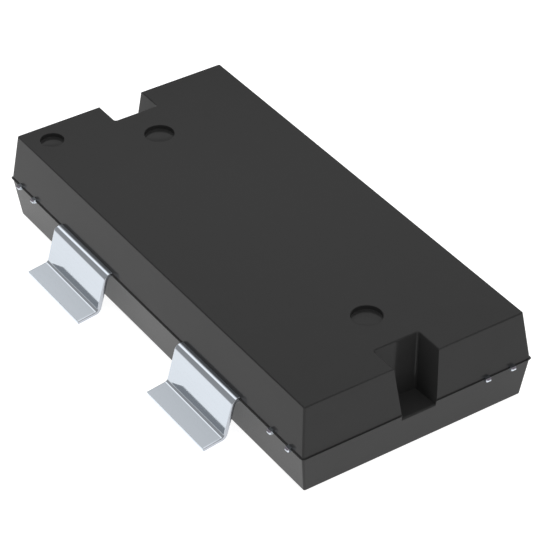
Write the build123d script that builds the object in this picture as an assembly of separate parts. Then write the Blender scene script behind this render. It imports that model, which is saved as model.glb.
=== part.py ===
from build123d import *
import os
from math import cos, radians, sin, tan

os.makedirs("parts", exist_ok=True)

# Overmoulded RF power transistor, a push-pull pair, with four gull-wing leads. Millimetres.
# X runs along the body, Y runs across it from the gate leads to the drain leads, Z points up.
# The origin is the middle of the seating plane, which the toes of the leads touch.

# Moulded body
part_length = 20.48         # along X at the parting line
part_width = 9.87           # along Y at the parting line
lower_height = 1.70         # from the underside up to the parting line
upper_height = 2.02         # from the parting line up to the top
standoff = 0.01             # underside above the seating plane
end_draft = 7.4             # degrees, the two short faces
side_draft = 6.8            # degrees, the two long faces
corner_radius = 0.08        # upright corners
rim_radius = 0.06           # edges of the top
underside_chamfer = 0.05    # edges of the underside
flash_reach = 0.07          # parting-line flash beyond the body
flash_thickness = 0.05

# End notches, open at the top and at the end
notch_width = 1.46          # along Y at the notch floor
notch_depth = 1.24          # floor length, from the end of the body at the parting line
notch_drop = 0.27           # floor below the parting line
notch_draft = 6.0           # degrees
notch_corner_radius = 0.10
notch_sill_radius = 0.10    # outer edge of the notch floor

# Round marks of the mould in the top face
ejector_mark_diameter = 1.17
ejector_mark_spacing = 14.02
ejector_mark_depth = 0.19
index_mark_diameter = 0.90
index_mark_inset = 1.00     # centre from the two nearest top edges
index_mark_depth = 0.18
mark_chamfer = 0.04         # mouth and floor of each mark

# Lead frame sheet
frame_thickness = 0.15
frame_rise = 0.075          # top of the sheet above the parting line

# Gull-wing leads
lead_pitch = 8.80           # between the two leads of one side
lead_width = 3.84
lead_span = 13.05           # toe to toe
lead_shoulder = 0.19        # flat stretch outside the flash, up to the bend's corner
leg_lean = 16.0             # degrees off upright
foot_slope = 8.0            # degrees down towards the toe
shoulder_bend_radius = 0.11  # inside of the upper bend
ankle_bend_radius = 0.17    # inside of the lower bend
lead_grip = 1.17            # length of a lead inside the mould, from the parting-line face
anchor_width = 4.60         # widened inner end, which the mould grips
anchor_length = 0.50
anchor_slot_length = 3.00   # slot across the lead that the mould fills
anchor_slot_width = 0.36
anchor_slot_margin = 0.12   # slot edge from the widened end

# Heat slug, the source contact
slug_end_wall = 1.64        # mould beside the slug's face, at each end
slug_side_wall = 1.135       # mould beside the slug's face, at each side
slug_thickness = 1.42
slug_lock_width = 0.25      # how far the upper part overhangs the face
slug_lock_height = 0.50     # where the overhang starts, above the face
slug_corner_radius = 0.30
moat_inset = 1.25           # groove round the chips, from the slug's upper edge
moat_width = 0.20
moat_depth = 0.12

# Stakes on the slug, pressed flat in the holes of the tie bars
stake_inset = 0.57          # stake centre from the slug's upper edges
stake_diameter = 0.60
stake_pad_side = 0.90       # square pad under the tie bar

# Tie bars, cut off just outside the body
prong_width = 0.22
prong_pitch = 1.12          # between the two prongs of one tie bar
prong_reach = 0.13          # beyond the flash
side_prong_inset = 1.32     # middle of a pair on a long side, from the body's end
end_prong_inset = 1.43      # middle of a pair on an end, from the body's side
tie_plate_margin = 0.60     # plate round the stake
tie_wall = 0.70             # plate edge to the body's outside

# Chips, along Y from gate to drain
solder_thickness = 0.03
die_length = 4.80
die_width = 1.50
die_thickness = 0.10
die_y = 0.60
capacitor_length = 4.60
capacitor_width = 0.90
capacitor_thickness = 0.13
capacitor_y = -1.50

# Bond ribbons
ribbon_width = 0.80
ribbon_thickness = 0.05
ribbon_count = 3            # in each row
ribbon_pitch = 1.40
ribbon_rise_angle = 50.0    # degrees
ribbon_foot_length = 0.25
pad_inset = 0.22            # middle of a ribbon's foot from the edge beside it
loop_height = 0.25          # above the higher of the two feet

# Levels and places that follow from them
underside_z = standoff
parting_z = underside_z + lower_height
top_z = parting_z + upper_height
frame_top_z = parting_z + frame_rise
frame_bottom_z = frame_top_z - frame_thickness
slug_top_z = underside_z + slug_thickness
slug_length = part_length - 2 * slug_end_wall
slug_width = part_width - 2 * slug_side_wall
slug_top_length = slug_length + 2 * slug_lock_width
slug_top_width = slug_width + 2 * slug_lock_width
chip_z = slug_top_z + solder_thickness
die_top_z = chip_z + die_thickness
capacitor_top_z = chip_z + capacitor_thickness
flash_end_x = part_length / 2 + flash_reach
flash_side_y = part_width / 2 + flash_reach
top_length = part_length - 2 * upper_height * tan(radians(end_draft))
top_width = part_width - 2 * upper_height * tan(radians(side_draft))
stake_x = slug_top_length / 2 - stake_inset
stake_y = slug_top_width / 2 - stake_inset
lead_x = lead_pitch / 2
lead_end_y = part_width / 2 - lead_grip


# Moulded body

def trapezoid(near, far, near_z, far_z):
    """A symmetric side view of a drafted form; near and far are its half widths at the two levels."""
    return Polygon((-near, near_z), (near, near_z), (far, far_z), (-far, far_z), align=None)


def upright_edges(shape):
    return shape.edges().filter_by(lambda edge: abs(edge.tangent_at(0.5).Z) > 0.5)


def half_body(height, direction):
    """One half of the mould's cavity: a frustum that narrows away from the parting line."""
    far_z = parting_z + direction * height
    far_x = part_length / 2 - height * tan(radians(end_draft))
    far_y = part_width / 2 - height * tan(radians(side_draft))
    long_view = trapezoid(part_length / 2, far_x, parting_z, far_z)
    end_view = trapezoid(part_width / 2, far_y, parting_z, far_z)
    along_y = extrude(Plane.XZ * long_view, part_width, both=True)
    along_x = extrude(Plane.YZ * end_view, part_length, both=True)
    half = along_y & along_x
    return fillet(upright_edges(half), corner_radius)


def flash_band():
    outline = RectangleRounded(2 * flash_end_x, 2 * flash_side_y, corner_radius + flash_reach)
    return Pos(0, 0, parting_z - flash_thickness / 2) * extrude(outline, flash_thickness)


def notch_cutter():
    """The space of the notch at the +X end, wider at the top than at its floor."""
    floor_z = parting_z - notch_drop
    high_z = top_z + notch_drop
    spread = (high_z - floor_z) * tan(radians(notch_draft))
    back_x = part_length / 2 - notch_depth
    outer_x = flash_end_x + notch_depth
    long_view = Polygon((back_x, floor_z), (outer_x, floor_z), (outer_x, high_z), (back_x - spread, high_z),
                        align=None)
    end_view = trapezoid(notch_width / 2, notch_width / 2 + spread, floor_z, high_z)
    along_y = extrude(Plane.XZ * long_view, notch_width, both=True)
    along_x = extrude(Plane.YZ * end_view, 2 * outer_x)
    space = along_y & along_x
    return fillet(upright_edges(space).sort_by(Axis.X)[:2], notch_corner_radius)


def round_mark(x, y, diameter, depth):
    """The space of a round mark, from its floor to above the top face."""
    return Pos(x, y, top_z - depth) * extrude(Circle(diameter / 2), 2 * depth)


def body_block():
    """The moulded body with its notches and marks, before it takes in the inner pieces."""
    block = half_body(upper_height, 1) + half_body(lower_height, -1) + flash_band()
    notch = notch_cutter()
    block -= [notch, mirror(notch, Plane.YZ)]
    sill_z = parting_z - notch_drop
    sill_x = part_length / 2 - notch_depth / 2
    at_floor = block.edges().filter_by(Axis.Y).filter_by(lambda edge: abs(edge.center().Z - sill_z) < 1e-3)
    block = fillet(at_floor.filter_by(lambda edge: abs(edge.center().X) > sill_x), notch_sill_radius)
    block = fillet(block.faces().sort_by(Axis.Z)[-1].edges(), rim_radius)
    block = chamfer(block.faces().sort_by(Axis.Z)[0].edges(), underside_chamfer)
    ejector_x = ejector_mark_spacing / 2
    block -= [
        round_mark(ejector_x, 0, ejector_mark_diameter, ejector_mark_depth),
        round_mark(-ejector_x, 0, ejector_mark_diameter, ejector_mark_depth),
        round_mark(index_mark_inset - top_length / 2, index_mark_inset - top_width / 2,
                   index_mark_diameter, index_mark_depth),
    ]
    mark_edges = block.edges().filter_by(GeomType.CIRCLE).filter_by(
        lambda edge: edge.is_closed and edge.center().Z > top_z - 2 * ejector_mark_depth)
    return chamfer(mark_edges, mark_chamfer)


# Gull-wing leads

def lead_profile():
    """Side view of a lead: a flat inner stretch, a leaning leg and a sloping foot, in (Y, Z)."""
    lean = tan(radians(leg_lean))
    slope = tan(radians(foot_slope))
    half = frame_thickness / 2
    middle_z = frame_top_z - half
    corner_y = flash_side_y + lead_shoulder
    toe_y = lead_span / 2 - half * sin(radians(foot_slope))
    toe_z = half * cos(radians(foot_slope))
    ankle_y = (corner_y + (middle_z - toe_z - toe_y * slope) * lean) / (1 - slope * lean)
    ankle_z = toe_z + (toe_y - ankle_y) * slope
    points = [(lead_end_y, middle_z), (corner_y, middle_z), (ankle_y, ankle_z), (toe_y, toe_z)]
    radii = [shoulder_bend_radius + half, ankle_bend_radius + half]
    return trace(FilletPolyline(*points, radius=radii), frame_thickness)


def lead_plan():
    """Top view of a lead along +Y, with the widened, slotted end inside the mould."""
    length = lead_span / 2 - lead_end_y
    strip = Pos(0, lead_end_y + length / 2) * Rectangle(lead_width, length)
    anchor = Pos(0, lead_end_y + anchor_length / 2) * Rectangle(anchor_width, anchor_length)
    slot_y = lead_end_y + anchor_length + anchor_slot_margin + anchor_slot_width / 2
    slot = Pos(0, slot_y) * Rectangle(anchor_slot_length, anchor_slot_width)
    return strip + anchor - slot


def lead():
    """A lead at the middle of the +Y side."""
    formed = extrude(Plane.YZ * lead_profile(), anchor_width, both=True)
    blank = extrude(lead_plan(), top_z)
    return formed & blank


# Heat slug and the tie bars staked to it

def stake():
    """A square pad that carries the tie bar, and the round stake through the bar's hole."""
    pad = extrude(Rectangle(stake_pad_side, stake_pad_side), frame_bottom_z - slug_top_z)
    pin = extrude(Circle(stake_diameter / 2), frame_top_z - slug_top_z)
    return Pos(0, 0, slug_top_z) * (pad + pin)


def heat_slug():
    face = RectangleRounded(slug_length, slug_width, slug_corner_radius)
    upper = RectangleRounded(slug_top_length, slug_top_width, slug_corner_radius + slug_lock_width)
    slug = Pos(0, 0, underside_z) * extrude(face, slug_lock_height)
    slug += Pos(0, 0, underside_z + slug_lock_height) * extrude(upper, slug_thickness - slug_lock_height)
    outer_length = slug_top_length - 2 * moat_inset
    outer_width = slug_top_width - 2 * moat_inset
    island = Rectangle(outer_length - 2 * moat_width, outer_width - 2 * moat_width)
    moat = Rectangle(outer_length, outer_width) - island
    slug -= Pos(0, 0, slug_top_z - moat_depth) * extrude(moat, 2 * moat_depth)
    return slug + [Pos(x, y, 0) * stake() for x in (-stake_x, stake_x) for y in (-stake_y, stake_y)]


def plate(x_from, x_to, y_from, y_to):
    """A rectangle between two corners."""
    middle = Pos((x_from + x_to) / 2, (y_from + y_to) / 2)
    return middle * Rectangle(x_to - x_from, y_to - y_from)


def side_tie_bar():
    """The tie bar of the -Y corner at +X, whose prongs leave the long side."""
    middle_x = part_length / 2 - side_prong_inset
    outer_x = middle_x + (prong_pitch + prong_width) / 2
    outer_y = part_width / 2 - tie_wall
    outline = plate(stake_x - tie_plate_margin, outer_x, stake_y - tie_plate_margin, outer_y)
    tip_y = flash_side_y + prong_reach
    for side in (-1, 1):
        x = middle_x + side * prong_pitch / 2
        outline += plate(x - prong_width / 2, x + prong_width / 2, outer_y - prong_width, tip_y)
    outline -= Pos(stake_x, stake_y) * Circle(stake_diameter / 2)
    bar = Pos(0, 0, frame_bottom_z) * extrude(outline, frame_thickness)
    return mirror(bar, Plane.XZ)


def end_tie_bar():
    """The tie bar of the +Y corner at +X, whose prongs leave the end."""
    middle_y = part_width / 2 - end_prong_inset
    outer_y = middle_y + (prong_pitch + prong_width) / 2
    outer_x = part_length / 2 - tie_wall
    outline = plate(stake_x - tie_plate_margin, outer_x, stake_y - tie_plate_margin, outer_y)
    tip_x = flash_end_x + prong_reach
    for side in (-1, 1):
        y = middle_y + side * prong_pitch / 2
        outline += plate(outer_x - prong_width, tip_x, y - prong_width / 2, y + prong_width / 2)
    outline -= Pos(stake_x, stake_y) * Circle(stake_diameter / 2)
    return Pos(0, 0, frame_bottom_z) * extrude(outline, frame_thickness)


# Chips on the slug

def chip(x, y, length, width, thickness):
    return Pos(x, y, chip_z + thickness / 2) * Box(length, width, thickness)


def solder(x, y, length, width):
    return Pos(x, y, slug_top_z + solder_thickness / 2) * Box(length, width, solder_thickness)


# Bond ribbons

def bond_ribbon(start_y, start_z, end_y, end_z):
    """One ribbon at x = 0: two flat feet and a folded loop between them, from start to end along +Y."""
    half_foot = ribbon_foot_length / 2
    start_z += ribbon_thickness / 2
    end_z += ribbon_thickness / 2
    peak_z = max(start_z, end_z) + loop_height
    slope = tan(radians(ribbon_rise_angle))
    points = [
        (start_y - half_foot, start_z),
        (start_y + half_foot, start_z),
        (start_y + half_foot + (peak_z - start_z) / slope, peak_z),
        (end_y - half_foot - (peak_z - end_z) / slope, peak_z),
        (end_y - half_foot, end_z),
        (end_y + half_foot, end_z),
    ]
    return extrude(Plane.YZ * trace(Polyline(*points), ribbon_thickness), ribbon_width / 2, both=True)


def ribbon_row(ribbon, x):
    """Copies of one ribbon side by side, as separate solids."""
    first = x - (ribbon_count - 1) / 2 * ribbon_pitch
    return [Pos(first + i * ribbon_pitch, 0, 0) * ribbon for i in range(ribbon_count)]


# The pieces by name

nodes = {"heat_slug": [heat_slug()]}

one_lead = lead()
one_side_tie = side_tie_bar()
one_end_tie = end_tie_bar()

lead_pad_y = lead_end_y + pad_inset
capacitor_pad_y = capacitor_width / 2 - pad_inset
die_pad_y = die_width / 2 - pad_inset
gate_ribbon = bond_ribbon(-lead_pad_y, frame_top_z, capacitor_y - capacitor_pad_y, capacitor_top_z)
input_ribbon = bond_ribbon(capacitor_y + capacitor_pad_y, capacitor_top_z, die_y - die_pad_y, die_top_z)
drain_ribbon = bond_ribbon(die_y + die_pad_y, die_top_z, lead_pad_y, frame_top_z)

for letter, x in (("a", -lead_x), ("b", lead_x)):
    nodes["gate_lead_" + letter] = [Pos(x, 0, 0) * mirror(one_lead, Plane.XZ)]
    nodes["drain_lead_" + letter] = [Pos(x, 0, 0) * one_lead]
    nodes["transistor_die_" + letter] = [chip(x, die_y, die_length, die_width, die_thickness)]
    nodes["die_solder_" + letter] = [solder(x, die_y, die_length, die_width)]
    nodes["input_capacitor_" + letter] = [chip(x, capacitor_y, capacitor_length, capacitor_width,
                                               capacitor_thickness)]
    nodes["capacitor_solder_" + letter] = [solder(x, capacitor_y, capacitor_length, capacitor_width)]
    nodes["gate_ribbons_" + letter] = ribbon_row(gate_ribbon, x)
    nodes["input_ribbons_" + letter] = ribbon_row(input_ribbon, x)
    nodes["drain_ribbons_" + letter] = ribbon_row(drain_ribbon, x)

nodes["gate_tie_bar_a"] = [mirror(one_side_tie, Plane.YZ)]
nodes["gate_tie_bar_b"] = [one_side_tie]
nodes["drain_tie_bar_a"] = [mirror(one_end_tie, Plane.YZ)]
nodes["drain_tie_bar_b"] = [one_end_tie]

inner_pieces = [solid for solids in nodes.values() for solid in solids]
nodes["mould_body"] = [body_block() - inner_pieces]

for name, solids in nodes.items():
    shape = solids[0] if len(solids) == 1 else Compound(children=solids)
    export_step(shape, "parts/" + name + ".step")
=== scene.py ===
import math

import bmesh
import bpy
import numpy as np
from bpy.props import FloatProperty, FloatVectorProperty, IntProperty, PointerProperty
from mathutils import Matrix, Vector
from mathutils.geometry import delaunay_2d_cdt


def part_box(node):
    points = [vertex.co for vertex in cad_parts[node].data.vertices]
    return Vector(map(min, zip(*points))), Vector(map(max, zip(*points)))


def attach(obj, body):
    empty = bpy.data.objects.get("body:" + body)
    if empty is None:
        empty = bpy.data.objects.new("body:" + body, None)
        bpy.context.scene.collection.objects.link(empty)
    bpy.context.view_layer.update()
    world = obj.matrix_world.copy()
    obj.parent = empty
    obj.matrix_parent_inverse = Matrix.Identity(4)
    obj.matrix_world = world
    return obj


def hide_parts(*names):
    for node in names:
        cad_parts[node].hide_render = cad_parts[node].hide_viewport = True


bl_info = {
    "name": "Moulded Power Transistor",
    "version": (1, 0, 0),
    "blender": (4, 5, 0),
    "location": "View3D > Sidebar > Transistor",
    "description": "Moulded body, formed leads, finishes and studio of a power transistor",
    "category": "Object",
}

# The fixed model that everything is built round. Lengths are metres, +Z is up.
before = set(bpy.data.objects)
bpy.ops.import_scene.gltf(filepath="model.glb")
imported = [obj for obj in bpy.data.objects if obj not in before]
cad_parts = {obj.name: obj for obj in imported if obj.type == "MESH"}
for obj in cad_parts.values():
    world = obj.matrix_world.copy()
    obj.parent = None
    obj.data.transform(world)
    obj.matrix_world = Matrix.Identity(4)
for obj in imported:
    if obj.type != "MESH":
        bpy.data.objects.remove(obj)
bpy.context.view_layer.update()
mould_low, mould_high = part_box("mould_body")

MM = 0.001
WELD = 1e-7                     # patches meet exactly, so this only absorbs rounding errors
SHARP = math.radians(35)        # a crease at least this strong stays sharp
FLAT = math.radians(1)          # facets of one flat face differ by less than this
SIDEWAYS = 0.7                  # a face whose normal has more than this along an axis looks that way
WITHOUT_HOLES = 5               # asks the triangulation for whole faces and none inside the holes
LARGE_FACES = 100               # lets the larger face lead where normals are weighted; 50 is neutral
SENSOR_MM = 36                  # the camera's sensor, across

# A Mix node's colour sockets go by number, because its float and vector sockets have the same names.
COLOURS = {"data_type": "RGBA"}
FACTOR, FIRST, SECOND, MIXED = 0, 6, 7, 2
SMOOTH = {"interpolation_type": "SMOOTHSTEP"}
NOISE = {"From Min": 0.3, "From Max": 0.7}      # a noise texture seldom leaves this range

# Bands on a cut end, as shares of the sheet's thickness from its lower face: where the burnish and its
# painted highlight set in above the rolled-over edge, and where they give way to torn metal.
BURNISH_AND_HIGHLIGHT_START = (0.08, 0.30)
BURNISH_AND_HIGHLIGHT_END = (0.75, 0.50)

# Borders of the studio's light: the axis of the direction looked in, and where a smooth step along it
# starts and ends. Along Z that is the sine of the height above the horizon.
BORDERS = {
    "above_ground": ("Z", math.sin(math.radians(-4)), math.sin(math.radians(-1))),
    "overhead": ("Z", math.sin(math.radians(30)), math.sin(math.radians(35))),
    "over_front": ("Y", -0.25, -0.19),
    "behind": ("Y", 0.06, 0.22),
    "farther": ("Y", 0.25, 0.42),
    "on_left": ("X", 0.15, -0.35),
}

# How its colours are laid over each other: the result, the colour before a border and the one after it.
LIGHT = (
    ("low", "ground", "walls", "above_ground"),
    ("back", "ceiling", "lit_ceiling", "farther"),
    ("back", "dim_ceiling", "back", "on_left"),
    ("high", "panel", "back", "behind"),
    ("high", "low", "high", "over_front"),
    ("sky", "low", "high", "overhead"),
)

LEADS = ("gate_lead_a", "gate_lead_b", "drain_lead_a", "drain_lead_b")
TIE_BARS = ("gate_tie_bar_a", "gate_tie_bar_b", "drain_tie_bar_a", "drain_tie_bar_b")
SILICON = ("transistor_die_a", "transistor_die_b", "input_capacitor_a", "input_capacitor_b")
SOLDER = ("die_solder_a", "die_solder_b", "capacitor_solder_a", "capacitor_solder_b")
RIBBONS = ("gate_ribbons_a", "gate_ribbons_b", "input_ribbons_a", "input_ribbons_b",
           "drain_ribbons_a", "drain_ribbons_b")


def linear(code):
    """An sRGB hex colour as linear red, green and blue, and opaque."""
    srgb = np.array([int(code[i:i + 2], 16) for i in (1, 3, 5)]) / 255
    value = np.where(srgb <= 0.04045, srgb / 12.92, ((srgb + 0.055) / 1.055) ** 2.4)
    return (*value.tolist(), 1.0)


# Sizes and colours that a user would change

def length(name, description, millimetres):
    return FloatProperty(name=name, description=description, default=millimetres * MM,
                         unit="LENGTH", precision=6)


def angle(name, description, degrees):
    return FloatProperty(name=name, description=description, default=math.radians(degrees),
                         subtype="ANGLE")


def colour(name, description, code):
    return FloatVectorProperty(name=name, description=description, default=linear(code),
                               subtype="COLOR", size=4, min=0, max=1)


class MouldSizes(bpy.types.PropertyGroup):
    lower_height: length("Lower height", "Underside up to the parting line", 1.70)
    end_draft: angle("End draft", "Lean of the two short faces", 7.4)
    side_draft: angle("Side draft", "Lean of the two long faces", 6.8)
    corner_radius: length("Corner radius", "Rounding of the upright corners", 0.08)
    rim_radius: length("Rim radius", "Rounding of the edges of the top and of the underside", 0.06)
    flash_reach: length("Flash reach", "Flash beyond the body at the parting line", 0.07)
    flash_trim: length("Flash trim", "What is rubbed off the flash's reach", 0.015)
    flash_thickness: length("Flash thickness", "Height of the flash at the body", 0.035)
    flash_tip: length("Flash tip", "Height of the flash at its outer edge", 0.017)
    flash_edge: length("Flash edge", "Rounding of the flash's outer edges", 0.008)
    notch_half_width: length("Notch half width", "Half of the notch across its floor", 0.73)
    notch_depth: length("Notch depth", "Notch floor from the end of the body at the parting line", 1.24)
    notch_drop: length("Notch drop", "Notch floor below the parting line", 0.27)
    notch_draft: angle("Notch draft", "Lean of the notch walls", 6.0)
    notch_radius: length("Notch radius", "Rounding of the notch's two inner corners", 0.10)
    sill_radius: length("Sill radius", "Rounding of the outer edge of the notch floor", 0.07)
    sill_rise: length("Sill rise", "Climb of the notch floor towards its outer edge", 0.05)
    ejector_radius: length("Ejector mark radius", "Round marks on the middle line of the top", 0.585)
    ejector_x: length("Ejector mark place", "Ejector marks from the middle", 7.01)
    ejector_depth: length("Ejector mark depth", "Floor of an ejector mark below the top", 0.19)
    index_radius: length("Index mark radius", "Round mark in one corner of the top", 0.465)
    index_inset: length("Index mark inset", "Centre of the index mark from the two top edges", 1.00)
    index_depth: length("Index mark depth", "Floor of the index mark below the top", 0.18)
    mark_edge: length("Mark edge", "Rounding of a mark's mouth and of its floor", 0.025)
    slug_lock: length("Slug lock", "How far the slug's upper part overhangs its bare face", 0.25)
    slug_radius: length("Slug corner", "Rounding of the corners of the slug's bare face", 0.30)
    pocket_depth: length("Pocket depth", "How deep the mould is modelled beside the slug", 0.45)
    steps: IntProperty(name="Steps", description="Facets across a rounding", default=5, min=1)
    mark_facets: IntProperty(name="Mark facets", description="Facets round a mark", default=72, min=8)


class LeadSizes(bpy.types.PropertyGroup):
    thickness: length("Sheet thickness", "Thickness of the lead frame sheet", 0.17)
    width: length("Lead width", "Width of a lead outside the mould", 3.84)
    anchor_length: length("Anchor length", "Length of the widened end inside the mould", 0.50)
    shoulder: length("Shoulder", "Flat stretch outside the flash, up to the bend's corner", 0.162)
    leg_lean: angle("Leg lean", "Leg off upright", 16.0)
    foot_slope: angle("Foot slope", "Foot down towards its toe", 8.0)
    upper_bend: length("Upper bend", "Inner radius of the upper bend", 0.11)
    lower_bend: length("Lower bend", "Inner radius of the lower bend", 0.15)
    edge: length("Sheared edge", "Rounding of the sheared edges", 0.045)
    toe_edge: length("Toe edge", "Rounding of the toe's cut edges", 0.015)
    tip_rounding: length("Tip rounding", "Rounding of the tie bars' cut ends", 0.07)
    bend_facets: IntProperty(name="Bend facets", description="Facets along a bend", default=20, min=2)


class Finishes(bpy.types.PropertyGroup):
    mould: colour("Moulding compound", "Epoxy filled with silica and soot", "#343434")
    mould_pale: colour("Moulding compound, pale", "Where the resin skin is thinner", "#383838")
    # Tin is also laid as a painted highlight band across the tie bars' cut ends.
    tin: colour("Bright tin", "Plating of the leads", "#d3dae2")
    tin_dull: colour("Bright tin, dull", "Where the sheet was rubbed", "#cfd6de")
    sheared: colour("Sheared tin", "Plating over the torn edges of the sheet", "#bbbfc6")
    torn: colour("Torn copper", "Cut ends of the tie bars, oxidised", "#8c8791")
    slug: colour("Matt tin", "Plating of the slug's face", "#cfcecb")
    slug_dull: colour("Matt tin, dull", "Darker grains of the slug's plating", "#b9b8b6")
    silicon: colour("Silicon", "Polished chips", "#4c4e57")
    solder: colour("Gold tin solder", "Layer under the chips", "#cfb878")
    aluminium: colour("Aluminium", "Bond ribbons", "#dcdde0")


class Studio(bpy.types.PropertyGroup):
    floor_half: length("Floor", "Half of the floor's side", 50)
    floor_colour: colour("Floor colour", "Pale floor", "#cccccc")
    floor_glow: FloatProperty(name="Floor glow", default=0.96,
                              description="Light that comes through the floor")
    brightness: FloatProperty(name="Brightness", default=1.37,
                              description="Of the white in the studio: over 1 it burns out")
    ground: colour("Ground", "White below the horizon", "#ffffff")
    walls: colour("Walls", "Dark walls of the studio", "#8c8c8c")
    panel: colour("Panel", "White panel overhead", "#fafafa")
    ceiling: colour("Ceiling", "Pale grey overhead, behind the panel", "#bababa")
    dim_ceiling: colour("Dim ceiling", "Darker part of the ceiling, on the right", "#a2a2a2")
    lit_ceiling: colour("Lit ceiling", "Paler part of the ceiling, farther behind", "#d4d4d4")
    azimuth: angle("Azimuth", "Camera round the part, from -Y towards +X", 56.6051)
    elevation: angle("Elevation", "Camera above the horizon", 36.9487)
    roll: angle("Roll", "Camera's tilt about its own axis", -0.4771)
    distance: length("Distance", "Camera from the middle of the parting line", 93.9861)
    right: length("Right", "Camera's shift to its right", 0.624)
    up: length("Up", "Camera's shift upwards", -0.4443)
    lens: FloatProperty(name="Lens", description="Focal length in mm", default=163.04, unit="CAMERA")


# Surfaces

class Shell:
    """Gathers the patches of one surface and welds them into a closed mesh."""

    def __init__(self):
        self.points = []
        self.faces = []
        self.count = 0

    def add(self, points, faces):
        """Points as an array of rows of x, y, z, and faces as lists of indices into them."""
        self.faces += [[self.count + i for i in face] for face in faces]
        self.points.append(np.reshape(points, (-1, 3)))
        self.count += len(self.points[-1])

    def grid(self, points, around=False):
        """A patch from a table of points: each cell is a quad, and around closes the rows."""
        rows, columns = points.shape[:2]
        index = np.arange(rows * columns).reshape(rows, columns)
        if around:
            index = np.concatenate([index, index[:, :1]], axis=1)
        corners = [index[:-1, :-1], index[:-1, 1:], index[1:, 1:], index[1:, :-1]]
        self.add(points, np.stack(corners, axis=-1).reshape(-1, 4).tolist())

    def polygon(self, points):
        """One flat face."""
        self.add(points, [list(range(len(points)))])

    def pierced(self, outline, holes):
        """A level face with round holes, cut into faces that leave the holes open."""
        loops = [outline] + holes
        sizes = [len(loop) for loop in loops]
        starts = np.cumsum([0] + sizes[:-1])
        rings = [[int(start + i) for i in range(size)] for start, size in zip(starts, sizes)]
        flat = np.concatenate(loops)
        level = flat[0, 2]
        places = [Vector(p) for p in flat[:, :2] / MM]
        found, _, faces, *_ = delaunay_2d_cdt(places, [], rings, WITHOUT_HOLES, WELD / MM)
        points = [(p.x * MM, p.y * MM, level) for p in found]
        self.add(np.array(points), faces)

    def build(self, name):
        """Welds the patches, drops what has collapsed, turns the faces outwards, and keeps flat faces
        looking flat where they meet a rounding."""
        mesh = bpy.data.meshes.new(name)
        mesh.from_pydata(np.concatenate(self.points).tolist(), [], self.faces)
        work = bmesh.new()
        work.from_mesh(mesh)
        bmesh.ops.remove_doubles(work, verts=work.verts, dist=WELD)
        bmesh.ops.dissolve_degenerate(work, edges=work.edges, dist=WELD)
        bmesh.ops.recalc_face_normals(work, faces=work.faces)
        open_edges = sum(not edge.is_manifold for edge in work.edges)
        work.to_mesh(mesh)
        work.free()
        if open_edges:
            raise RuntimeError(f"{name} has {open_edges} open edges")
        mesh.shade_smooth()
        mesh.set_sharp_from_angle(angle=SHARP)
        piece = bpy.data.objects.new(name, mesh)
        bpy.context.scene.collection.objects.link(piece)
        lead_flat(piece)
        return piece


def lead_flat(piece):
    """Flat faces keep their normals where they meet a rounding: each normal leans to the larger face."""
    weighted = piece.modifiers.new("Flat faces lead", "WEIGHTED_NORMAL")
    weighted.keep_sharp = True
    weighted.weight = LARGE_FACES


def arc(centre_x, centre_y, radius, start, end, steps):
    """Points on an arc in plan, one row for each level: centre plus radius times the cosine and sine."""
    turn = np.radians(np.linspace(start, end, steps + 1))
    columns = (np.reshape(v, (-1, 1)) for v in (centre_x, centre_y, radius))
    centre_x, centre_y, radius = np.broadcast_arrays(*columns)
    return np.stack([centre_x + radius * np.cos(turn), centre_y + radius * np.sin(turn)], axis=-1)


def at_levels(plan, z):
    """Rows in plan, each lifted to its level."""
    level = np.broadcast_to(np.reshape(z, (-1, 1, 1)), plan.shape[:2] + (1,))
    return np.concatenate([plan, level], axis=-1)


def half_turn(points):
    """The same points turned half round the Z axis."""
    return points * np.array([-1, -1, 1])[:points.shape[-1]]


def rolled_edge(draft, face_at, edge_z, radius, steps, up=1):
    """A ball rolled between a drafted face and a level one: from the face's tangent point to the level
    face's, as the ball's centre plus the radius times the cosine and sine of the angle."""
    turn = np.linspace(draft, math.pi / 2, steps + 1)
    centre = face_at(edge_z - up * radius) - radius / math.cos(draft)
    return centre + radius * np.cos(turn), edge_z - up * radius * (1 - np.sin(turn))


# Moulded body

class MouldForm:
    """The moulded body as curves in plan at each level, all with the same columns. A drafted wall moves
    by its height over a fixed level times the tangent of its draft."""

    def __init__(self, s):
        self.s = s
        self.parting_z = mould_low.z + s.lower_height
        self.half_length = mould_high.x - s.flash_reach
        self.half_width = mould_high.y - s.flash_reach
        self.floor_z = self.parting_z - s.notch_drop

    def end_x(self, z):
        """The short faces, widest at the parting line."""
        return self.half_length - abs(z - self.parting_z) * math.tan(self.s.end_draft)

    def side_y(self, z):
        """The long faces, widest at the parting line."""
        return self.half_width - abs(z - self.parting_z) * math.tan(self.s.side_draft)

    def back_x(self, z):
        """The notch's back wall, deeper into the body with height."""
        return self.half_length - self.s.notch_depth - (z - self.floor_z) * math.tan(self.s.notch_draft)

    def cheek_y(self, z):
        """The notch's cheeks, wider apart with height."""
        return self.s.notch_half_width + (z - self.floor_z) * math.tan(self.s.notch_draft)

    def side_path(self, end_x, side_y, cheek_y, radius):
        """Plan of the +Y side, from the mouth of one notch to the other, with two rounded corners."""
        steps = self.s.steps
        rows = (np.atleast_1d(v) for v in (end_x, side_y, cheek_y, radius))
        end_x, side_y, cheek_y, radius = np.broadcast_arrays(*rows)
        first = arc(end_x - radius, side_y - radius, radius, 0, 90, steps)
        second = arc(radius - end_x, side_y - radius, radius, 90, 180, steps)
        start = np.stack([end_x, cheek_y], axis=-1)[:, None]
        finish = np.stack([-end_x, cheek_y], axis=-1)[:, None]
        return np.concatenate([start, first, second, finish], axis=1)

    def notch_path(self, back_x, cheek_y, radius):
        """Plan of the notch at the -X end, from its +Y cheek round the back wall to its -Y cheek."""
        steps = self.s.steps
        first = arc(-back_x - radius, cheek_y - radius, radius, 90, 0, steps)
        second = arc(-back_x - radius, radius - cheek_y, radius, 0, -90, steps)
        return np.concatenate([first, second], axis=1)


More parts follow.
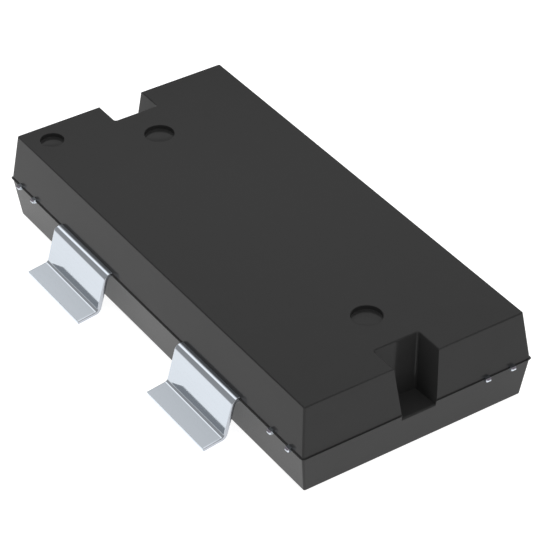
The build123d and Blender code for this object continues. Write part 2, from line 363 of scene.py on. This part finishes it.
def upper_rows(form):
    """Plan and level of the upper half from the flash to the top, notches included. The rim is a rolled
    edge, so its corners shrink by the rim's radius times the fall of the cosine."""
    s = form.s
    flash_top = form.parting_z + s.flash_thickness / 2
    top_z = mould_high.z
    roll = (s.rim_radius, s.steps)
    end_x, rim_z = rolled_edge(s.end_draft, form.end_x, top_z, *roll)
    side_y, _ = rolled_edge(s.side_draft, form.side_y, top_z, *roll)
    back_x, _ = rolled_edge(s.notch_draft, form.back_x, top_z, *roll)
    cheek, _ = rolled_edge(s.notch_draft, lambda z: -form.cheek_y(z), top_z, *roll)
    z = np.append(flash_top, rim_z)
    end_x = np.append(form.end_x(flash_top), end_x)
    side_y = np.append(form.side_y(flash_top), side_y)
    back_x = np.append(form.back_x(flash_top), back_x)
    cheek_y = np.append(form.cheek_y(flash_top), -cheek)
    turn = np.linspace(s.end_draft, math.pi / 2, s.steps + 1)
    inset = np.append(0, s.rim_radius * (math.cos(s.end_draft) - np.cos(turn)))
    side = form.side_path(end_x, side_y, cheek_y, s.corner_radius - inset)
    notch = form.notch_path(back_x, cheek_y, s.notch_radius + inset)
    return at_levels(np.concatenate([side, notch, half_turn(side), half_turn(notch)], axis=1), z)


def mark_rows(s, x, y, radius, depth):
    """A round mark, turned about its own axis: its mouth opens by the edge times one less the sine, its
    wall is upright, and its floor's edge closes by the edge times one less the cosine."""
    top_z = mould_high.z
    quarter = np.linspace(0, math.pi / 2, s.steps + 1)
    mouth_r = radius + s.mark_edge * (1 - np.sin(quarter))
    mouth_z = top_z - s.mark_edge * (1 - np.cos(quarter))
    floor_r = radius - s.mark_edge * (1 - np.cos(quarter))
    floor_z = top_z - depth + s.mark_edge * (1 - np.sin(quarter))
    r = np.append(mouth_r, floor_r)[:, None]
    z = np.append(mouth_z, floor_z)[:, None]
    turn = np.linspace(0, 2 * math.pi, s.mark_facets, endpoint=False)
    return np.stack([x + r * np.cos(turn), y + r * np.sin(turn), z + 0 * turn], axis=-1)


def flash_profile(form):
    """Levels and reach of the flash's outer edge, from below to above, as two quarter rounds."""
    s = form.s
    low = form.parting_z - s.flash_tip / 2
    high = form.parting_z + s.flash_tip / 2
    outer = s.flash_reach - s.flash_trim
    quarter = np.linspace(0, math.pi / 2, s.steps + 1)
    below_z = low + s.flash_edge * (1 - np.cos(quarter))
    above_z = high - s.flash_edge * (1 - np.sin(quarter))
    below_reach = outer - s.flash_edge * (1 - np.sin(quarter))
    above_reach = outer - s.flash_edge * (1 - np.cos(quarter))
    return np.concatenate([below_z, above_z]), np.concatenate([below_reach, above_reach])


def girdle_rows(form, sill_z):
    """Rows of one long side from the notch's sill up to the top of the flash."""
    s = form.s
    low = form.parting_z - s.flash_thickness / 2
    high = form.parting_z + s.flash_thickness / 2
    flash_z, reach = flash_profile(form)
    z = np.concatenate([[sill_z, low], flash_z, [high]])
    out = np.concatenate([[0, 0], reach, [0]])
    end_x = np.concatenate([form.end_x(z[:2]), form.half_length + reach, form.end_x(z[-1:])])
    side_y = np.concatenate([form.side_y(z[:2]), form.half_width + reach, form.side_y(z[-1:])])
    radius = s.corner_radius + out
    return at_levels(form.side_path(end_x, side_y, form.cheek_y(z), radius), z)


def sill_profile(form):
    """The rounding between the lower end face and the notch floor: ball centre plus cosine and sine."""
    s = form.s
    turn = np.linspace(-s.end_draft, math.pi / 2, s.steps + 1)
    centre_z = form.floor_z + s.sill_rise - s.sill_radius
    centre_x = form.end_x(centre_z) - s.sill_radius / math.cos(s.end_draft)
    return centre_x + s.sill_radius * np.cos(turn), centre_z + s.sill_radius * np.sin(turn)


def add_notch(shell, form, girdle, sill_x, sill_z, turned):
    """Sill, floor, back wall and cheeks of one notch, below the top of the flash."""
    s = form.s
    flash_top = form.parting_z + s.flash_thickness / 2
    place = half_turn if turned else np.array
    levels = np.array([form.floor_z, flash_top])
    plan = form.notch_path(form.back_x(levels), form.cheek_y(levels), s.notch_radius)
    wall = half_turn(at_levels(plan, levels))
    shell.grid(place(wall))
    cheek_y = form.cheek_y(sill_z)
    low_side = np.stack([sill_x, -cheek_y, sill_z], axis=-1)
    high_side = np.stack([sill_x, cheek_y, sill_z], axis=-1)
    shell.grid(place(np.stack([low_side, high_side], axis=1)))
    shell.polygon(place(np.concatenate([low_side[-1:], wall[0], high_side[-1:]])))
    edge = girdle[1:, 0]
    high_cheek = np.concatenate([high_side[::-1], edge, wall[::-1, -1]])
    low_cheek = np.concatenate([low_side[::-1], edge * np.array([1, -1, 1]), wall[::-1, 0]])
    shell.polygon(place(high_cheek))
    shell.polygon(place(low_cheek))


def mould_surface(s):
    """The whole moulded body as one closed surface. The slug's seat is a shallow pocket in it."""
    form = MouldForm(s)
    shell = Shell()
    upper = upper_rows(form)
    shell.grid(upper, around=True)

    index_x = s.index_inset - form.end_x(mould_high.z)
    index_y = s.index_inset - form.side_y(mould_high.z)
    marks = [
        mark_rows(s, s.ejector_x, 0, s.ejector_radius, s.ejector_depth),
        mark_rows(s, -s.ejector_x, 0, s.ejector_radius, s.ejector_depth),
        mark_rows(s, index_x, index_y, s.index_radius, s.index_depth),
    ]
    for rows in marks:
        shell.grid(rows, around=True)
        shell.polygon(rows[-1])
    shell.pierced(upper[-1], [rows[0] for rows in marks])

    sill_x, sill_z = sill_profile(form)
    girdle = girdle_rows(form, sill_z[0])
    shell.grid(girdle)
    shell.grid(half_turn(girdle))
    for turned in (False, True):
        add_notch(shell, form, girdle, sill_x, sill_z, turned)

    roll = (mould_low.z, s.rim_radius, s.steps, -1)
    end_x, rim_z = rolled_edge(s.end_draft, form.end_x, *roll)
    side_y, _ = rolled_edge(s.side_draft, form.side_y, *roll)
    turn = np.linspace(s.end_draft, math.pi / 2, s.steps + 1)
    radius = s.corner_radius - s.rim_radius * (math.cos(s.end_draft) - np.cos(turn))
    cheek_y = form.cheek_y(sill_z[0])
    lower = at_levels(form.side_path(end_x, side_y, cheek_y, radius), rim_z)
    slug_low, slug_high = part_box("heat_slug")
    face_x = slug_high.x - s.slug_lock
    face_y = slug_high.y - s.slug_lock
    pocket_z = np.array([mould_low.z, mould_low.z + s.pocket_depth])
    pocket = at_levels(form.side_path([face_x] * 2, face_y, cheek_y, s.slug_radius), pocket_z)
    rows = np.concatenate([girdle[:1], lower, pocket])
    rows = np.concatenate([rows, half_turn(rows)], axis=1)
    shell.grid(rows, around=True)
    shell.polygon(rows[-1])
    return shell.build("moulded_body")


# Leads

def bent_path(points, radii, facets):
    """A line with its corners rounded by tangent arcs: each arc swings between the two tangent points
    about a centre on the corner's bisector. Gives places and unit tangents."""
    places = [points[0]]
    tangents = []
    for before, corner, after, radius in zip(points, points[1:], points[2:], radii):
        ahead = (corner - before) / np.linalg.norm(corner - before)
        onward = (after - corner) / np.linalg.norm(after - corner)
        cross = ahead[0] * onward[1] - ahead[1] * onward[0]
        turn = math.atan2(cross, ahead @ onward)
        side = math.copysign(1, turn)
        start = corner - ahead * radius * math.tan(abs(turn) / 2)
        centre = start + side * radius * np.array([-ahead[1], ahead[0]])
        swing = np.linspace(0, turn, facets + 1)
        heading = math.atan2(ahead[1], ahead[0]) + swing
        normal = np.stack([-np.sin(heading), np.cos(heading)], axis=-1)
        places.append(centre - side * radius * normal)
        tangents.append(np.stack([np.cos(heading), np.sin(heading)], axis=-1))
    places = np.concatenate([np.reshape(p, (-1, 2)) for p in places] + [points[-1:]])
    tangents = np.concatenate([tangents[0][:1]] + tangents + [tangents[-1][-1:]])
    return places, tangents


def sheet_section(half_width, half_height, inset, edge, steps):
    """Section of the sheet, across and up: a rectangle with rounded corners, shrunk by inset."""
    across = half_width - inset
    up = half_height - inset
    rounding = np.maximum(edge - inset, 0)
    corners = []
    for start, side, rise in ((0, 1, 1), (90, -1, 1), (180, -1, -1), (270, 1, -1)):
        centre_x = side * (across - rounding)
        centre_y = rise * (up - rounding)
        corners.append(arc(centre_x, centre_y, rounding, start, start + 90, steps))
    return np.concatenate(corners, axis=1)


def lead_surface(name, s, mould):
    """The sheet's section carried along the bent line from inside the mould to the toe."""
    low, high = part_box(name)
    side = 1 if high.y > -low.y else -1
    inner_y = min(abs(low.y), abs(high.y))
    toe_reach = max(abs(low.y), abs(high.y))
    half = s.thickness / 2
    middle_z = high.z - half
    lean = math.tan(s.leg_lean)
    slope = math.tan(s.foot_slope)
    corner_y = mould_high.y + s.shoulder
    toe_y = toe_reach - half * math.sin(s.foot_slope)
    toe_z = low.z + half * math.cos(s.foot_slope)
    ankle_y = (corner_y + (middle_z - toe_z - toe_y * slope) * lean) / (1 - slope * lean)
    ankle_z = toe_z + (toe_y - ankle_y) * slope
    points = np.array([(inner_y, middle_z), (corner_y, middle_z), (ankle_y, ankle_z), (toe_y, toe_z)])
    places, tangents = bent_path(points, [s.upper_bend + half, s.lower_bend + half], s.bend_facets)

    widening = np.array([(inner_y + s.anchor_length, middle_z)] * 2)
    quarter = np.linspace(0, math.pi / 2, mould.steps + 1)
    toe = points[-1] - tangents[-1] * (s.toe_edge * (1 - np.sin(quarter)))[:, None]
    places = np.concatenate([places[:1], widening, places[1:-1], toe])
    tangents = np.concatenate([tangents[:1]] * 3 + [tangents[1:-1]] + [tangents[-1:]] * len(toe))
    half_width = np.full(len(places), s.width / 2)
    half_width[:2] = (high.x - low.x) / 2
    inset = np.zeros(len(places))
    inset[-len(toe):] = s.toe_edge * (1 - np.cos(quarter))

    section = sheet_section(half_width, half, inset, s.edge, mould.steps)
    across, up = section[..., 0], section[..., 1]
    normal_y, normal_z = -tangents[:, 1:], tangents[:, :1]
    middle_x = (low.x + high.x) / 2
    x = middle_x + side * across
    y = side * (places[:, :1] + up * normal_y)
    z = places[:, 1:] + up * normal_z
    rows = np.stack([x, y, z], axis=-1)
    shell = Shell()
    shell.grid(rows, around=True)
    shell.polygon(rows[0])
    shell.polygon(rows[-1])
    return shell.build("formed_" + name)


def beyond_mould(place):
    """Whether a place lies beyond the moulded body along X, and along Y."""
    return abs(place.x) > mould_high.x, abs(place.y) > mould_high.y


def cut_end(face):
    """True for the end face of a prong: beyond the mould along an axis, and looking along it."""
    beyond_x, beyond_y = beyond_mould(face.calc_center_median())
    looks_x, looks_y = (abs(component) > SIDEWAYS for component in face.normal.xy)
    return beyond_x and looks_x or beyond_y and looks_y


def round_tips(mesh, radius, steps):
    """Rounds the cut ends of what a tie bar has outside the mould, its prongs."""
    work = bmesh.new()
    work.from_mesh(mesh)
    bmesh.ops.remove_doubles(work, verts=work.verts, dist=WELD)
    bmesh.ops.dissolve_limit(work, angle_limit=FLAT, verts=work.verts, edges=work.edges)
    ends = [face for face in work.faces if cut_end(face)]
    edges = list({edge for face in ends for edge in face.edges})
    bmesh.ops.bevel(work, geom=edges, offset=radius, segments=steps, profile=0.5, affect="EDGES")
    work.to_mesh(mesh)
    work.free()
    mesh.shade_smooth()
    mesh.set_sharp_from_angle(angle=SHARP)


# Materials

def add(tree, kind, settings=None, inputs=None):
    """Adds a node, with its settings, and its inputs as values or as sockets to link from."""
    node = tree.nodes.new(kind)
    for key, value in (settings or {}).items():
        setattr(node, key, value)
    for key, value in (inputs or {}).items():
        if isinstance(value, bpy.types.NodeSocket):
            tree.links.new(value, node.inputs[key])
        else:
            node.inputs[key].default_value = value
    return node


def new_material(name):
    material = bpy.data.materials.new(name)
    material.use_nodes = True
    material.node_tree.nodes.clear()
    return material, material.node_tree


def per_metre(millimetres):
    """Noise scale for a pattern of this size."""
    return 1 / (millimetres * MM)


def moulded_epoxy(finish):
    """Silica-filled black epoxy, transfer moulded. Its resin skin is smooth and mirrors its surroundings
    more dimly than a bare resin's IOR of 1.55 would, so the IOR is matched at 1.24. The filler under it
    shows as a faint clouding, and the mould's spark-eroded skin as a fine grain, drawn at 0.05 mm so
    that it shows."""
    material, tree = new_material("Transfer-moulded black epoxy")
    place = add(tree, "ShaderNodeTexCoord").outputs["Object"]
    cloud = add(tree, "ShaderNodeTexNoise", inputs={
        "Vector": place, "Scale": per_metre(1.4), "Detail": 4.0})
    grain = add(tree, "ShaderNodeTexNoise", inputs={
        "Vector": place, "Scale": per_metre(0.05), "Detail": 2.0})
    base = add(tree, "ShaderNodeMix", COLOURS, {
        FACTOR: cloud.outputs["Fac"], FIRST: finish.mould, SECOND: finish.mould_pale})
    rough = add(tree, "ShaderNodeMapRange", inputs={
        "Value": cloud.outputs["Fac"], **NOISE, "To Min": 0.10, "To Max": 0.15})
    bump = add(tree, "ShaderNodeBump", inputs={
        "Height": grain.outputs["Fac"], "Strength": 0.05, "Distance": 0.002 * MM})
    shader = add(tree, "ShaderNodeBsdfPrincipled", inputs={
        "Base Color": base.outputs[MIXED], "Roughness": rough.outputs["Result"], "IOR": 1.24,
        "Normal": bump.outputs["Normal"]})
    add(tree, "ShaderNodeOutputMaterial", inputs={"Surface": shader.outputs["BSDF"]})
    return material


def rolled_metal(name, tone, roughness, line_mm, strength, dull=None):
    """Sheet metal with the faint lines of its rolling along X: a noise drawn out 25 times along them
    varies the roughness, raises the lines a little, and varies the tone where a dull one is given."""
    material, tree = new_material(name)
    place = add(tree, "ShaderNodeTexCoord").outputs["Object"]
    drawn = add(tree, "ShaderNodeMapping", inputs={"Vector": place, "Scale": (0.04, 1.0, 1.0)})
    lines = add(tree, "ShaderNodeTexNoise", inputs={
        "Vector": drawn.outputs["Vector"], "Scale": per_metre(line_mm), "Detail": 3.0})
    if dull is not None:
        tone = add(tree, "ShaderNodeMix", COLOURS, {
            FACTOR: lines.outputs["Fac"], FIRST: tone, SECOND: dull}).outputs[MIXED]
    rough = add(tree, "ShaderNodeMapRange", inputs={
        "Value": lines.outputs["Fac"], **NOISE, "To Min": roughness[0], "To Max": roughness[1]})
    bump = add(tree, "ShaderNodeBump", inputs={
        "Height": lines.outputs["Fac"], "Strength": strength, "Distance": 0.001 * MM})
    shader = add(tree, "ShaderNodeBsdfPrincipled", inputs={
        "Base Color": tone, "Metallic": 1.0, "Roughness": rough.outputs["Result"],
        "Normal": bump.outputs["Normal"]})
    add(tree, "ShaderNodeOutputMaterial", inputs={"Surface": shader.outputs["BSDF"]})
    return material


def bright_tin(finish):
    """Copper sheet, stamped, formed and plated with bright tin: nearly a mirror, a touch blue."""
    return rolled_metal("Bright tin on rolled copper", finish.tin, roughness=(0.06, 0.10),
                        line_mm=0.05, strength=0.05, dull=finish.tin_dull)


def sheared_tin(finish):
    """Edge of the sheet as the punch leaves it, under the tin: torn, so duller than the faces."""
    return rolled_metal("Bright tin on sheared copper", finish.sheared, roughness=(0.18, 0.26),
                        line_mm=0.05, strength=0.10)


def cut_copper_with_painted_highlight(finish, low_z, high_z):
    """Cut end of the copper sheet: the edge is rolled over, the cutting tool burnishes a bright band
    above it, and the rest tears and tarnishes to a dull violet grey. The bright band, in the leads' tin
    colour, is also a painted highlight across the middle of the end's height. The band is the product
    of two smooth steps in height."""
    material, tree = new_material("Cut copper with a burnished band and painted highlight")
    place = add(tree, "ShaderNodeTexCoord").outputs["Object"]
    z = add(tree, "ShaderNodeSeparateXYZ", inputs={"Vector": place}).outputs["Z"]
    share = add(tree, "ShaderNodeMapRange", inputs={
        "Value": z, "From Min": low_z, "From Max": high_z}).outputs["Result"]
    masks = []
    for start, end in (BURNISH_AND_HIGHLIGHT_START, BURNISH_AND_HIGHLIGHT_END):
        masks.append(add(tree, "ShaderNodeMapRange", SMOOTH, {
            "Value": share, "From Min": start, "From Max": end}).outputs["Result"])
    burnish_and_highlight = add(tree, "ShaderNodeMath", {"operation": "MULTIPLY"}, {
        0: masks[0], 1: masks[1]}).outputs[0]
    # The bright tin across the middle of the cut end's height is a painted highlight as well as the
    # burnish.
    base = add(tree, "ShaderNodeMix", COLOURS, {
        FACTOR: burnish_and_highlight, FIRST: finish.torn, SECOND: finish.tin})
    rough = add(tree, "ShaderNodeMapRange", inputs={
        "Value": burnish_and_highlight, "To Min": 0.40, "To Max": 0.15})
    shader = add(tree, "ShaderNodeBsdfPrincipled", inputs={
        "Base Color": base.outputs[MIXED], "Metallic": 1.0, "Roughness": rough.outputs["Result"]})
    add(tree, "ShaderNodeOutputMaterial", inputs={"Surface": shader.outputs["BSDF"]})
    return material


def matt_tin(finish):
    """Coined copper plated with matt tin, whose crystals of about 0.04 mm scatter the light to a soft
    silver."""
    material, tree = new_material("Matt tin on coined copper")
    place = add(tree, "ShaderNodeTexCoord").outputs["Object"]
    crystals = add(tree, "ShaderNodeTexVoronoi", inputs={
        "Vector": place, "Scale": per_metre(0.04)})
    stain = add(tree, "ShaderNodeTexNoise", inputs={
        "Vector": place, "Scale": per_metre(2.5), "Detail": 5.0})
    base = add(tree, "ShaderNodeMix", COLOURS, {
        FACTOR: stain.outputs["Fac"], FIRST: finish.slug, SECOND: finish.slug_dull})
    rough = add(tree, "ShaderNodeMapRange", inputs={
        "Value": crystals.outputs["Distance"], "To Min": 0.32, "To Max": 0.48})
    bump = add(tree, "ShaderNodeBump", inputs={
        "Height": crystals.outputs["Distance"], "Strength": 0.15, "Distance": 0.004 * MM})
    shader = add(tree, "ShaderNodeBsdfPrincipled", inputs={
        "Base Color": base.outputs[MIXED], "Metallic": 1.0, "Roughness": rough.outputs["Result"],
        "Normal": bump.outputs["Normal"]})
    add(tree, "ShaderNodeOutputMaterial", inputs={"Surface": shader.outputs["BSDF"]})
    return material


def wear(names, material):
    """Gives CAD nodes one material."""
    for name in names:
        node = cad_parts[name]
        node.data.materials.clear()
        node.data.materials.append(material)


# Operators, one for each piece or group of like pieces

class BuildMould(bpy.types.Operator):
    """Build the moulded body with its notches, flash and round marks"""
    bl_idname = "transistor.build_mould"
    bl_label = "Moulded Body"

    def execute(self, context):
        piece = mould_surface(context.scene.mould_sizes)
        piece.data.materials.append(moulded_epoxy(context.scene.finishes))
        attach(piece, "root")
        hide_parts("mould_body")
        return {"FINISHED"}


class BuildLeads(bpy.types.Operator):
    """Build the four formed leads"""
    bl_idname = "transistor.build_leads"
    bl_label = "Leads"

    def execute(self, context):
        tin = bright_tin(context.scene.finishes)
        sheared = sheared_tin(context.scene.finishes)
        for name in LEADS:
            piece = lead_surface(name, context.scene.lead_sizes, context.scene.mould_sizes)
            piece.data.materials.append(tin)
            piece.data.materials.append(sheared)
            for face in piece.data.polygons:
                face.material_index = int(abs(face.normal.x) > SIDEWAYS)
            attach(piece, "root")
            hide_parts(name)
        return {"FINISHED"}


class FinishTieBars(bpy.types.Operator):
    """Round the cut ends of the tie bars' prongs, and give the bars the sheet's plating"""
    bl_idname = "transistor.finish_tie_bars"
    bl_label = "Tie Bars"

    def execute(self, context):
        tin = bright_tin(context.scene.finishes)
        low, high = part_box(TIE_BARS[0])
        # The cut ends get a bright band that is a painted highlight as well as a burnish.
        cut = cut_copper_with_painted_highlight(context.scene.finishes, low.z, high.z)
        for name in TIE_BARS:
            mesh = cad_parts[name].data.copy()
            round_tips(mesh, context.scene.lead_sizes.tip_rounding, context.scene.mould_sizes.steps)
            piece = bpy.data.objects.new("plated_" + name, mesh)
            context.scene.collection.objects.link(piece)
            lead_flat(piece)
            piece.data.materials.clear()
            piece.data.materials.append(tin)
            piece.data.materials.append(cut)
            for face in mesh.polygons:
                face.material_index = int(any(beyond_mould(face.center)))
            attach(piece, "root")
            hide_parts(name)
        return {"FINISHED"}


class FinishSlug(bpy.types.Operator):
    """Give the heat slug its matt plating"""
    bl_idname = "transistor.finish_slug"
    bl_label = "Heat Slug"

    def execute(self, context):
        wear(["heat_slug"], matt_tin(context.scene.finishes))
        return {"FINISHED"}


class FinishChips(bpy.types.Operator):
    """Give the chips, their solder and the bond ribbons their metals"""
    bl_idname = "transistor.finish_chips"
    bl_label = "Chips and Bonds"

    def execute(self, context):
        finish = context.scene.finishes
        silicon = rolled_metal("Polished silicon", finish.silicon, roughness=(0.08, 0.12),
                               line_mm=0.10, strength=0.02)
        solder = rolled_metal("Gold tin solder", finish.solder, roughness=(0.25, 0.40),
                              line_mm=0.08, strength=0.10)
        ribbon = rolled_metal("Rolled aluminium ribbon", finish.aluminium, roughness=(0.18, 0.30),
                              line_mm=0.03, strength=0.10)
        wear(SILICON, silicon)
        wear(SOLDER, solder)
        wear(RIBBONS, ribbon)
        return {"FINISHED"}


class BuildStudio(bpy.types.Operator):
    """Set up the camera, the pale floor and the soft light all round"""
    bl_idname = "transistor.build_studio"
    bl_label = "Studio"

    def execute(self, context):
        studio = context.scene.studio
        context.scene.view_settings.view_transform = "Standard"
        self.camera(context.scene, studio)
        self.floor(context.scene, studio)
        self.light(context.scene, studio)
        return {"FINISHED"}

    def camera(self, scene, studio):
        """The camera looks along -back; right and up are its own axes, turned by the roll."""
        az, el, roll = studio.azimuth, studio.elevation, studio.roll
        back = Vector((math.sin(az) * math.cos(el), -math.cos(az) * math.cos(el), math.sin(el)))
        level = Vector((math.cos(az), math.sin(az), 0))
        lift = back.cross(level)
        right = math.cos(roll) * level + math.sin(roll) * lift
        up = math.cos(roll) * lift - math.sin(roll) * level
        middle = Vector((0, 0, mould_low.z + scene.mould_sizes.lower_height))
        place = middle + studio.right * right + studio.up * up + studio.distance * back
        data = bpy.data.cameras.new("Camera")
        data.lens = studio.lens
        data.sensor_width = SENSOR_MM
        data.clip_start = studio.distance / 10
        data.clip_end = 10 * studio.distance
        camera = bpy.data.objects.new("Camera", data)
        turn = Matrix((right, up, back)).transposed().to_4x4()
        camera.matrix_world = Matrix.Translation(place) @ turn
        scene.collection.objects.link(camera)
        scene.camera = camera

    def floor(self, scene, studio):
        """A gloss white acrylic sheet, lit from below too. Part of its white is the studio's light,
        which the part keeps off it nearby, and its gloss mirrors the dark walls at a low angle."""
        half = studio.floor_half
        corners = [(-half, -half, 0), (half, -half, 0), (half, half, 0), (-half, half, 0)]
        mesh = bpy.data.meshes.new("Floor")
        mesh.from_pydata(corners, [], [(0, 1, 2, 3)])
        floor = bpy.data.objects.new("Floor", mesh)
        scene.collection.objects.link(floor)
        material, tree = new_material("Lit white acrylic")
        sheet = add(tree, "ShaderNodeBsdfPrincipled", inputs={
            "Base Color": studio.floor_colour, "Roughness": 1.0, "Specular IOR Level": 0.0,
            "Coat Weight": 1.0, "Coat Roughness": 0.05, "Emission Color": (1, 1, 1, 1),
            "Emission Strength": studio.floor_glow})
        add(tree, "ShaderNodeOutputMaterial", inputs={"Surface": sheet.outputs["BSDF"]})
        mesh.materials.append(material)

    def light(self, scene, studio):
        """Light from all round: white below, dark walls, and overhead a long white panel with a ceiling
        behind it, pale grey on the left and dimmer on the right. BORDERS and LIGHT say where and how."""
        world = bpy.data.worlds.new("Studio")
        world.use_nodes = True
        tree = world.node_tree
        tree.nodes.clear()
        direction = add(tree, "ShaderNodeTexCoord").outputs["Generated"]
        axes = add(tree, "ShaderNodeSeparateXYZ", inputs={"Vector": direction}).outputs
        masks = {}
        for border, (axis, start, end) in BORDERS.items():
            masks[border] = add(tree, "ShaderNodeMapRange", SMOOTH, {
                "Value": axes[axis], "From Min": start, "From Max": end}).outputs["Result"]
        names = ("ground", "walls", "panel", "ceiling", "dim_ceiling", "lit_ceiling")
        tones = {name: getattr(studio, name) for name in names}
        for result, before, after, border in LIGHT:
            tones[result] = add(tree, "ShaderNodeMix", COLOURS, {
                FACTOR: masks[border], FIRST: tones[before], SECOND: tones[after]}).outputs[MIXED]
        sky = add(tree, "ShaderNodeBackground", inputs={
            "Color": tones["sky"], "Strength": studio.brightness})
        add(tree, "ShaderNodeOutputWorld", inputs={"Surface": sky.outputs["Background"]})
        scene.world = world


class TransistorPanel(bpy.types.Panel):
    """Builds the transistor piece by piece"""
    bl_idname = "VIEW3D_PT_transistor"
    bl_label = "Moulded Power Transistor"
    bl_space_type = "VIEW_3D"
    bl_region_type = "UI"
    bl_category = "Transistor"

    def draw(self, context):
        for operator in OPERATORS:
            self.layout.operator(operator.bl_idname)
        for group in GROUPS:
            box = self.layout.box()
            box.label(text=group.replace("_", " ").capitalize())
            settings = getattr(context.scene, group)
            for key in settings.bl_rna.properties.keys():
                if key not in ("rna_type", "name"):
                    box.prop(settings, key)


OPERATORS = (BuildStudio, BuildMould, BuildLeads, FinishTieBars, FinishSlug, FinishChips)
GROUPS = {"mould_sizes": MouldSizes, "lead_sizes": LeadSizes, "finishes": Finishes, "studio": Studio}


def register():
    for kind in (*GROUPS.values(), *OPERATORS, TransistorPanel):
        bpy.utils.register_class(kind)
    for name, kind in GROUPS.items():
        setattr(bpy.types.Scene, name, PointerProperty(type=kind))


def unregister():
    for name in GROUPS:
        delattr(bpy.types.Scene, name)
    for kind in (TransistorPanel, *reversed(OPERATORS), *reversed(list(GROUPS.values()))):
        bpy.utils.unregister_class(kind)


def main():
    register()
    bpy.ops.transistor.build_studio()
    bpy.ops.transistor.build_mould()
    bpy.ops.transistor.build_leads()
    bpy.ops.transistor.finish_tie_bars()
    bpy.ops.transistor.finish_slug()
    bpy.ops.transistor.finish_chips()


if __name__ == "__main__":
    main()
